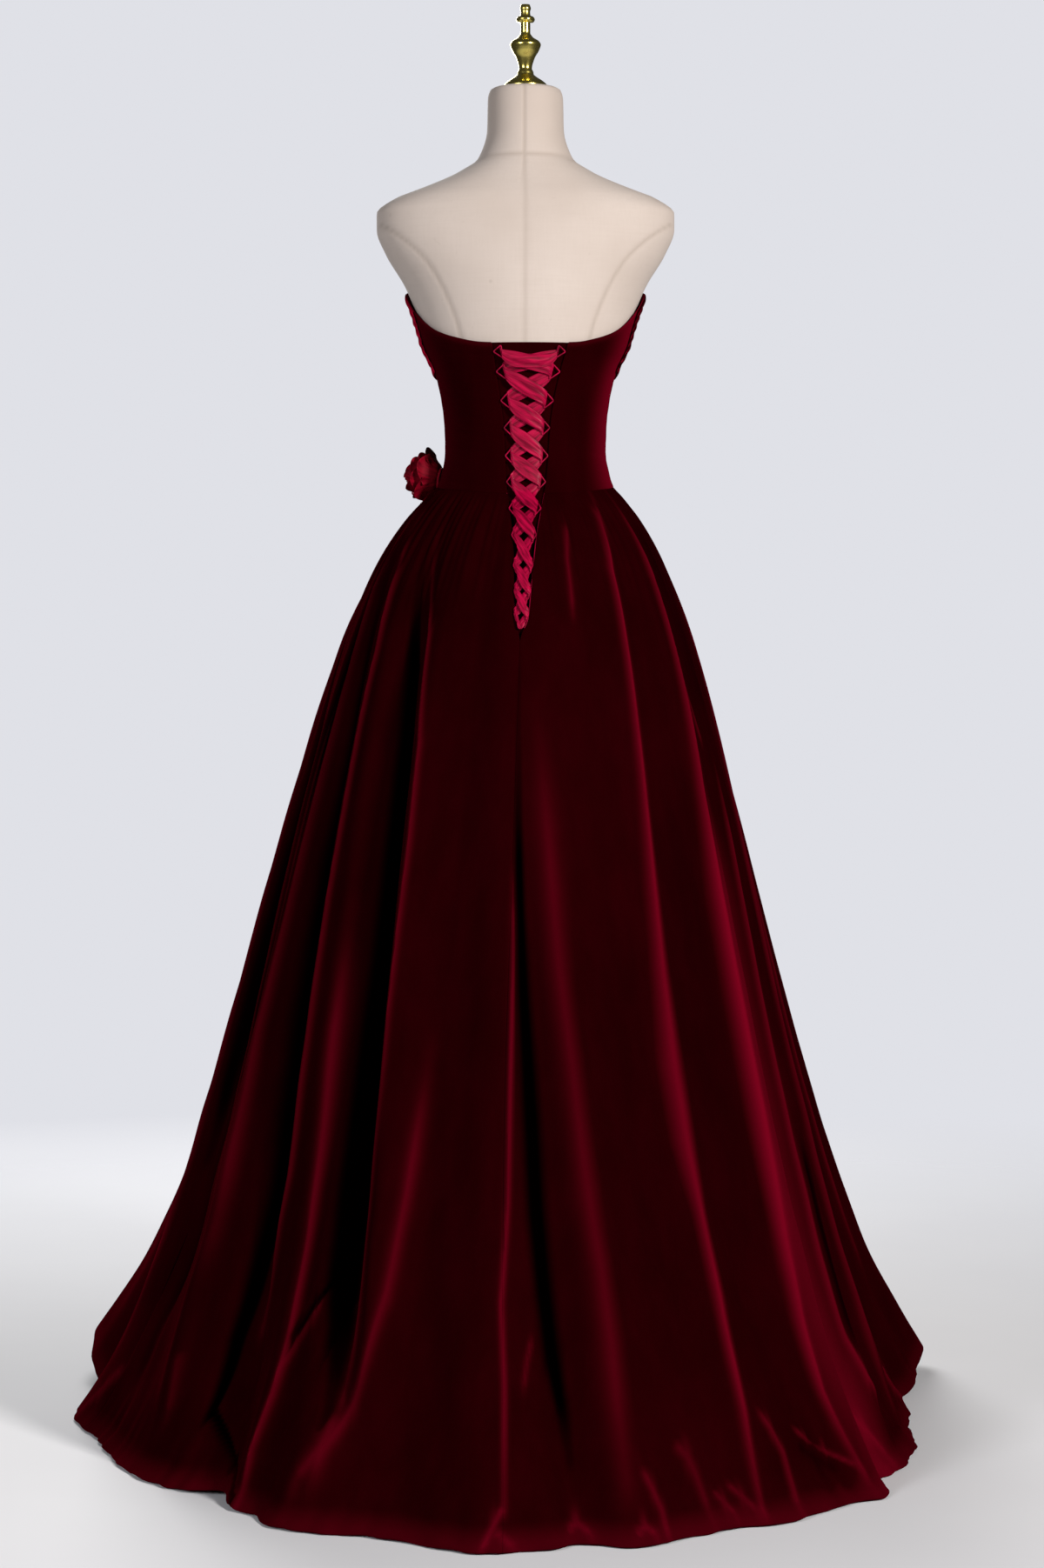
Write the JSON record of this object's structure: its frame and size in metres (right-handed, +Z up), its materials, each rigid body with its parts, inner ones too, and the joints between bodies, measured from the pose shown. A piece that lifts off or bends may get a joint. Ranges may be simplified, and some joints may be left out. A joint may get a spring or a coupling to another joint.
{
  "type": "velvet prom dress on dress form",
  "caption": "Strapless floor-length velvet gown with a laced corset back and a waist rose, worn by a limbless dress form on a round-based stand.",
  "frame": {"origin": "on the floor, at the middle of the underside of the stand's round base", "axes": "+Z up; the wearer faces -Y, so the laced back faces +Y; +X is the wearer's left"},
  "size_m": [1.1571, 1.2469, 1.8273],
  "materials": {
    "velvet": "deep crimson pile with a soft sheen at its edges",
    "satin_ribbon": "satin",
    "rose_satin": "satin",
    "form_linen": "matte weave",
    "brass": "polished",
    "stand_iron": "satin"
  },
  "bodies": {
    "root": {"form_torso": "form_linen", "form_finial": "brass", "stand_pole": "stand_iron", "stand_base": "stand_iron", "bodice_back_right": "velvet", "bodice_back_left": "velvet", "bodice_front": "velvet", "bust_drape": "velvet", "modesty_panel": "velvet", "lacing_edge_right": "satin_ribbon", "lacing_edge_left": "satin_ribbon", "lacing_ribbon_from_left": "satin_ribbon", "lacing_ribbon_from_right": "satin_ribbon", "lacing_ribbon_top": "satin_ribbon", "skirt_back_right": "velvet", "skirt_back_left": "velvet", "skirt_front": "velvet", "waist_rose": "rose_satin"}
  },
  "joints": []
}
